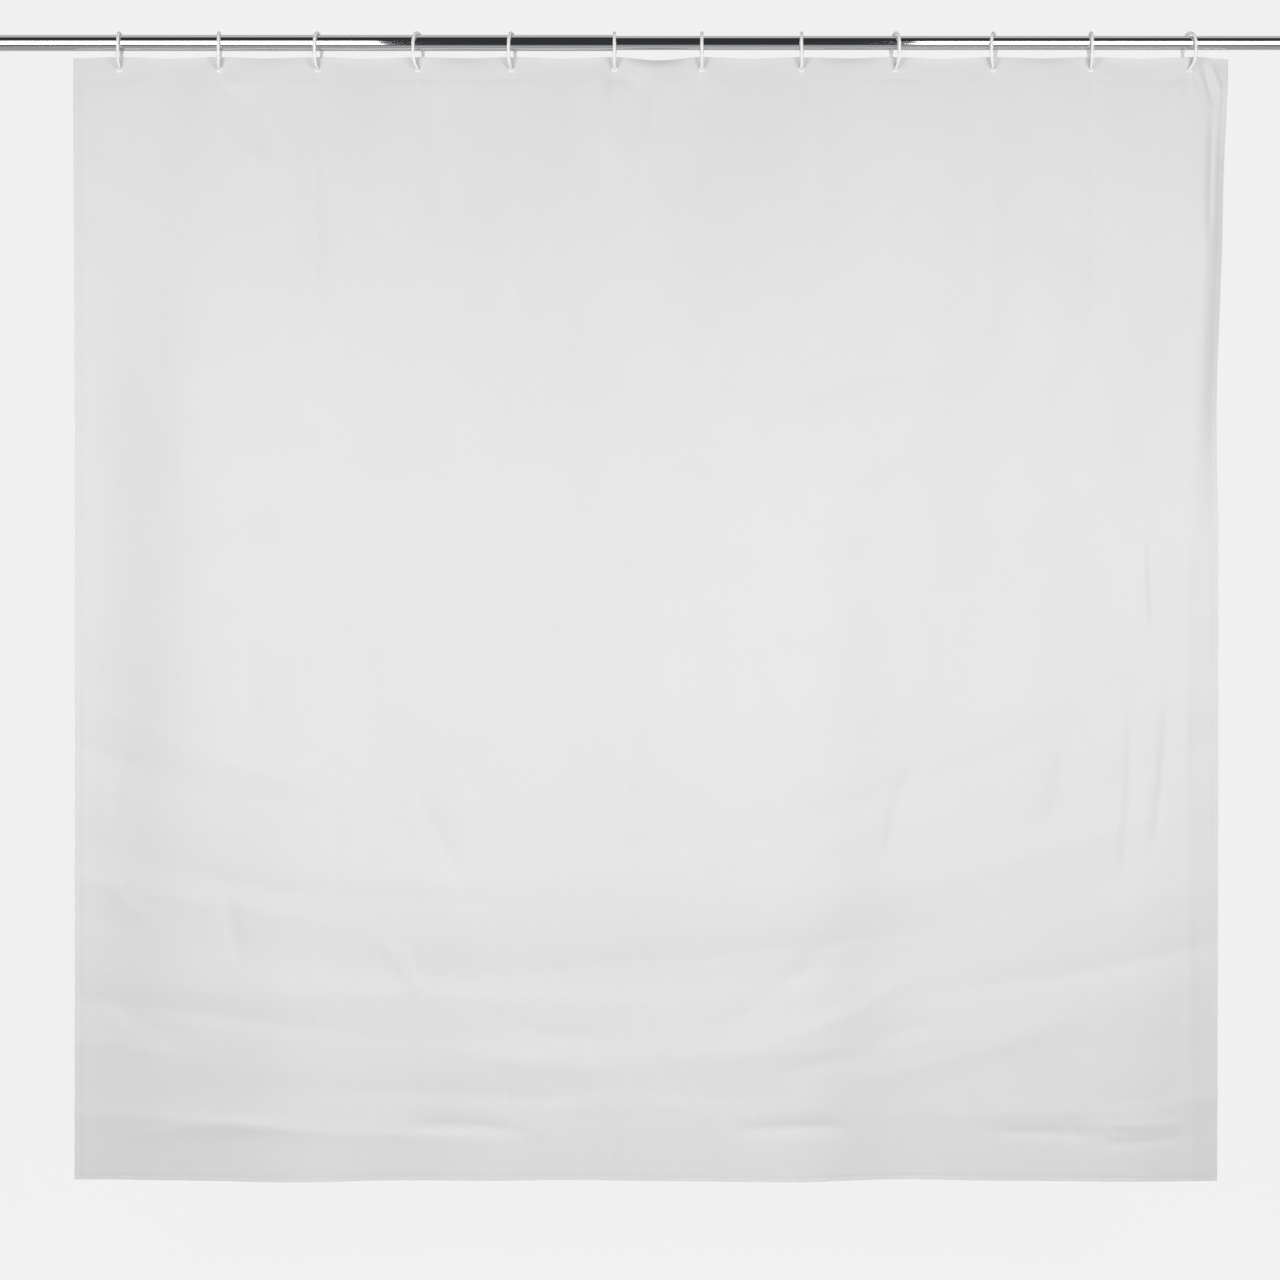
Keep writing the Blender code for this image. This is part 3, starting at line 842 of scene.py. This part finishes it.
class SHOWER_OT_rings(bpy.types.Operator):
    """Make the twelve snap rings."""
    bl_idname = "shower.rings"
    bl_label = "Snap Rings"

    def execute(self, context):
        settings = context.scene.shower_rings
        finish = moulded_material("ring plastic", settings.colour, 0.24)
        milky = finish.node_tree.nodes["Principled BSDF"]
        milky.inputs["Subsurface Weight"].default_value = 0.4
        milky.inputs["Subsurface Radius"].default_value = (1, 1, 1)
        milky.inputs["Subsurface Scale"].default_value = 0.003
        points, clasp_top = ring_path(settings)
        dense = resampled(points, 0.0006, 0.0016)
        radii = [ring_radius(y, z, clasp_top, settings) for y, z in dense]
        mesh = loop_mesh("snap_ring", [(0, y, z) for y, z in dense], radii, settings.sides, seam=0.00007)
        mesh.materials.append(finish)
        for name, turn, hole in zip(RING_NAMES, RING_TURNS, HOLES):
            ring = bpy.data.objects.new(f"snap_{name}", mesh)
            context.scene.collection.objects.link(ring)
            ring.location.x = FILM_LOW.x + hole
            ring.rotation_euler.z = -math.radians(turn)
            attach(ring, name)
            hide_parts(name)
        return {"FINISHED"}


def tube_outline(low, high):
    """Half the section of a tube with rounded cut ends, from its bore out and back."""
    lip, radius, bore = TUBE_LIP, high.z, high.z - TUBE_WALL
    return [(low.x, bore), (low.x, radius - lip), (low.x + lip, radius), (low.x + 4 * lip, radius),
            (low.x + 8 * lip, radius), (high.x - 8 * lip, radius), (high.x - 4 * lip, radius),
            (high.x - 2 * lip, radius), (high.x - lip / 2, radius - lip / 3), (high.x, radius - lip),
            (high.x, bore)]


class SHOWER_OT_rod(bpy.types.Operator):
    """Make the two chromed tubes and the bush between them."""
    bl_idname = "shower.rod"
    bl_label = "Rod Tubes"

    def execute(self, context):
        settings = context.scene.shower_rod
        chrome = chrome_material(settings)
        plastic = moulded_material("bush plastic", settings.plastic, 0.35)
        for name, body in (("outer_tube", "rod"), ("inner_tube", "inner_rod")):
            outline = tube_outline(*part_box(f"rod_{name}"))
            tube = add_piece(name, turned_mesh(name, outline), chrome, body)
            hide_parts(f"rod_{name}")
        low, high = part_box("guide_bush")
        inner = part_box("rod_inner_tube")[1].z + GAP
        sleeve = inner + 0.0005
        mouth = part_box("rod_outer_tube")[1].x + GAP
        outline = [(low.x, inner), (low.x, sleeve), (mouth, sleeve), (mouth, high.z - 0.0002),
                   (high.x - 0.0006, high.z - 0.0002), (high.x, high.z - 0.0008), (high.x, inner)]
        bush = add_piece("bush", turned_mesh("bush", outline), plastic, "rod")
        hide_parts("guide_bush")
        return {"FINISHED"}


def cup_mesh(name, low, high, tube_radius, bore_radius, stem_length, from_left):
    """An end cup turned from its half section, counted from the wall: pad recess, dished flange with a
    rounded rim, ribbed collar, bore, and the stem inside the tube."""
    proud, rim = 0.0015, high.z
    recess, pad_bed, floor = rim - 0.0022, 0.0043, 0.0083
    bore = tube_radius + GAP
    collar, end = bore + 0.002, high.x - low.x + proud
    outline = [(pad_bed, 0), (pad_bed, recess), (proud, recess), (proud, rim), (proud + 0.0055, rim),
               (proud + 0.0072, rim - 0.0025), (floor + 0.0035, bore + 0.006)]
    outline += [(floor + 0.0080, bore + 0.0042)]
    for k in range(5):
        start = floor + 0.010 + k * 0.0036
        outline += [(start, collar + 0.0009), (start + 0.0016, collar + 0.0009),
                    (start + 0.0021, collar + 0.0002), (start + 0.0032, collar + 0.0002)]
    outline += [(end - 0.0008, collar), (end, collar - 0.0008), (end, bore), (floor, bore)]
    outline += [(floor, bore_radius - GAP), (floor + stem_length, bore_radius - GAP),
                (floor + stem_length, 0)]
    soft = rounded(outline, 0.0005, 3)
    wall, sign = (low.x - proud, 1) if from_left else (high.x + proud, -1)
    return turned_mesh(name, [(wall + sign * distance, radius) for distance, radius in soft])


def pad_mesh(name, low, high, from_left):
    """A rubber pad with two fine grooves in its face and a rounded rim."""
    radius, depth = high.z, high.x - low.x
    outline = [(0, 0)]
    for groove in (0.008, 0.014):
        outline += [(0, groove - 0.0008), (0.0006, groove), (0, groove + 0.0008)]
    outline += [(0, radius - 0.0008), (0.0003, radius - 0.0003), (0.0010, radius)]
    outline += [(depth, radius), (depth, 0)]
    wall, sign = (low.x, 1) if from_left else (high.x, -1)
    return turned_mesh(name, [(wall + sign * distance, r) for distance, r in outline])


class SHOWER_OT_ends(bpy.types.Operator):
    """Make the end cups and their rubber pads."""
    bl_idname = "shower.ends"
    bl_label = "End Cups"

    def execute(self, context):
        plastic = moulded_material("cup plastic", context.scene.shower_rod.plastic, 0.3)
        rubber = rubber_material()
        outer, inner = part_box("rod_outer_tube")[1].z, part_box("rod_inner_tube")[1].z
        for side, body, tube, stem in (("left", "rod", outer, 0.015),
                                       ("right", "right_foot", inner, 0.032)):
            low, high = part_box(f"end_cup_{side}")
            mesh = cup_mesh(f"cup_{side}", low, high, tube, tube - TUBE_WALL, stem, side == "left")
            cup = add_piece(f"cup_{side}", mesh, plastic, body)
            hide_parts(f"end_cup_{side}")
            low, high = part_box(f"end_pad_{side}")
            mesh = pad_mesh(f"pad_{side}", low, high, side == "left")
            pad = add_piece(f"pad_{side}", mesh, rubber, body)
            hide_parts(f"end_pad_{side}")
        return {"FINISHED"}


def spring_path(low, high, wire):
    """The middle line of the foot's spring, wound about the rod's axis."""
    turns, steps = 8, 28
    radius = high.z - wire
    path = []
    for k in range(turns * steps + 1):
        angle = math.tau * k / steps
        x = low.x + wire + (high.x - low.x - 2 * wire) * k / (turns * steps)
        path.append((x, radius * math.cos(angle), radius * math.sin(angle)))
    return path


class SHOWER_OT_inside(bpy.types.Operator):
    """Finish the pieces inside the rod: the foot's spring, its seat and the lock."""
    bl_idname = "shower.inside"
    bl_label = "Spring and Lock"

    def execute(self, context):
        steel = steel_material()
        plastic = moulded_material("lock plastic", (0.70, 0.70, 0.68), 0.4)
        for node, finish in (("lock_spindle", steel), ("lock_sleeve", plastic), ("spring_seat", plastic)):
            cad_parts[node].data.materials.clear()
            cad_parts[node].data.materials.append(finish)
        low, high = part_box("foot_spring")
        wire = 0.0009
        mesh = coil_mesh("spring", spring_path(low, high, wire), wire, 10)
        spring = add_piece("spring", mesh, steel, "inner_rod")
        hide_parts("foot_spring")
        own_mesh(spring)
        return {"FINISHED"}


# The studio. Places are counted from the film's middle.

SOFTBOX_ASIDE, SOFTBOX_AHEAD, SOFTBOX_UP = 1.22, -2.2, 0.60
FILL_PLACE = (0, -1.9, -0.48)
FILL_SHARE = 0.43  # of a softbox's power
CAMERA_ASIDE, CAMERA_UP = -0.017, -0.0333
FLOOR_RADIUS = 3.3
FLOOR_FADE = (1.2, 3.2)  # the floor is whole inside the first distance and gone at the second
FLOOR_GLOW = (0.36, 0.906)  # shares of the background's colour: in the light it casts, and as seen


def studio_world(settings):
    """Pale where the camera looks. What lights and mirrors the object is pale behind the curtain and dark
    in front, as in a studio with the backdrop lit."""
    world = bpy.data.worlds.new("studio")
    world.use_nodes = True
    tree = world.node_tree
    tree.nodes.clear()
    direction = tree.nodes.new("ShaderNodeTexCoord").outputs["Generated"]
    parts = add_node(tree, "SeparateXYZ", Vector=direction)
    ramp = add_node(tree, "ValToRGB", Fac=map_range(tree, parts.outputs["Y"], 0.0, 1.0, start=-1.0))
    dark, pale = ramp.color_ramp.elements
    dark.position, dark.color = 0.36, (0.035, 0.036, 0.038, 1)
    pale.position, pale.color = 0.44, (0.55, 0.55, 0.55, 1)
    around = add_node(tree, "Background", Color=ramp.outputs["Color"])
    seen = add_node(tree, "Background", Color=(*settings.background, 1))
    camera_ray = tree.nodes.new("ShaderNodeLightPath").outputs["Is Camera Ray"]
    mix = add_node(tree, "MixShader", Fac=camera_ray)
    tree.links.new(around.outputs["Background"], mix.inputs[1])
    tree.links.new(seen.outputs["Background"], mix.inputs[2])
    add_node(tree, "OutputWorld", Surface=mix.outputs["Shader"])
    return world


def floor_material(settings):
    """A pale floor that melts into the background at its rim. Most of its glow is for the eye alone, so
    that it doesn't light the film from below."""
    material, tree, shader = plain_material("pale floor", (0.06, 0.06, 0.06), 0.6)
    shader.inputs["Emission Strength"].default_value = 1.0
    cast, seen = [(*[share * c for c in settings.background], 1) for share in FLOOR_GLOW]
    camera_ray = tree.nodes.new("ShaderNodeLightPath").outputs["Is Camera Ray"]
    tree.links.new(mixed_colour(tree, camera_ray, cast, seen), shader.inputs["Emission Color"])
    distance = vector_math(tree, "LENGTH", object_coordinates(tree))["Value"]
    whole, gone = FLOOR_FADE
    fade = add_node(tree, "MapRange", Value=distance, From_Min=whole, From_Max=gone, To_Min=1.0, To_Max=0.0)
    fade.interpolation_type = "SMOOTHSTEP"
    tree.links.new(fade.outputs["Result"], shader.inputs["Alpha"])
    return material


def softbox(name, place, aim, width, height, power):
    light = bpy.data.lights.new(name, "AREA")
    light.shape = "RECTANGLE"
    light.size, light.size_y = width, height
    light.energy = power
    lamp = bpy.data.objects.new(name, light)
    bpy.context.scene.collection.objects.link(lamp)
    lamp.location = place
    lamp.rotation_euler = (Vector(aim) - Vector(place)).to_track_quat("-Z", "Y").to_euler()
    return lamp


class SHOWER_OT_stage(bpy.types.Operator):
    """Set out the floor, the studio light and the camera."""
    bl_idname = "shower.stage"
    bl_label = "Studio"

    def execute(self, context):
        settings = context.scene.shower_stage
        scene = context.scene
        scene.view_settings.view_transform = "Standard"
        scene.world = studio_world(settings)
        middle = Vector(((FILM_LOW.x + FILM_HIGH.x) / 2, 0, (FILM_LOW.z + FILM_HIGH.z) / 2))
        mesh = bpy.data.meshes.new("floor")
        shape = bmesh.new()
        bmesh.ops.create_circle(shape, cap_ends=True, segments=96, radius=FLOOR_RADIUS)
        shape.to_mesh(mesh)
        shape.free()
        floor = bpy.data.objects.new("floor", mesh)
        scene.collection.objects.link(floor)
        mesh.materials.append(floor_material(settings))
        floor.location = (middle.x, 0, -settings.drop_to_floor)
        for name, side in (("softbox_left", -1), ("softbox_right", 1)):
            place = middle + Vector((side * SOFTBOX_ASIDE, SOFTBOX_AHEAD, SOFTBOX_UP))
            softbox(name, place, place + Vector((-side * 0.1, 2, 0)), 1.2, 2.0, settings.light_power)
        place = middle + Vector(FILL_PLACE)
        fill = softbox("softbox_middle", place, place + Vector((0, 2, 0)), 2.2, 0.5,
                       settings.light_power * FILL_SHARE)
        fill.visible_glossy = False
        lens = bpy.data.cameras.new("camera")
        lens.sensor_width = 36
        lens.lens = lens.sensor_width * settings.distance / settings.view_width
        camera = bpy.data.objects.new("camera", lens)
        scene.collection.objects.link(camera)
        camera.location = middle + Vector((CAMERA_ASIDE, -settings.distance, CAMERA_UP))
        camera.rotation_euler = (math.pi / 2, 0, 0)
        scene.camera = camera
        return {"FINISHED"}


OPERATORS = (SHOWER_OT_groups, SHOWER_OT_stage, SHOWER_OT_rings, SHOWER_OT_film, SHOWER_OT_rod,
             SHOWER_OT_ends, SHOWER_OT_inside)
SETTINGS = (("shower_film", FilmSettings), ("shower_rings", RingSettings), ("shower_rod", RodSettings),
            ("shower_stage", StageSettings))


class SHOWER_PT_panel(bpy.types.Panel):
    """The curtain's pieces and their settings."""
    bl_idname = "SHOWER_PT_panel"
    bl_label = "Shower Curtain"
    bl_space_type = "VIEW_3D"
    bl_region_type = "UI"
    bl_category = "Shower Curtain"

    def draw(self, context):
        for name, group in SETTINGS:
            box = self.layout.box()
            settings = getattr(context.scene, name)
            for label in group.__annotations__:
                box.prop(settings, label)
        for operator in OPERATORS:
            self.layout.operator(operator.bl_idname)


def register():
    for name, group in SETTINGS:
        bpy.utils.register_class(group)
        setattr(bpy.types.Scene, name, bpy.props.PointerProperty(type=group))
    for operator in OPERATORS:
        bpy.utils.register_class(operator)
    bpy.utils.register_class(SHOWER_PT_panel)


def unregister():
    bpy.utils.unregister_class(SHOWER_PT_panel)
    for operator in OPERATORS:
        bpy.utils.unregister_class(operator)
    for name, group in SETTINGS:
        delattr(bpy.types.Scene, name)
        bpy.utils.unregister_class(group)


def main():
    register()
    for make in (bpy.ops.shower.groups, bpy.ops.shower.stage, bpy.ops.shower.rings, bpy.ops.shower.film,
                 bpy.ops.shower.rod, bpy.ops.shower.ends, bpy.ops.shower.inside):
        make()


if __name__ == "__main__":
    main()
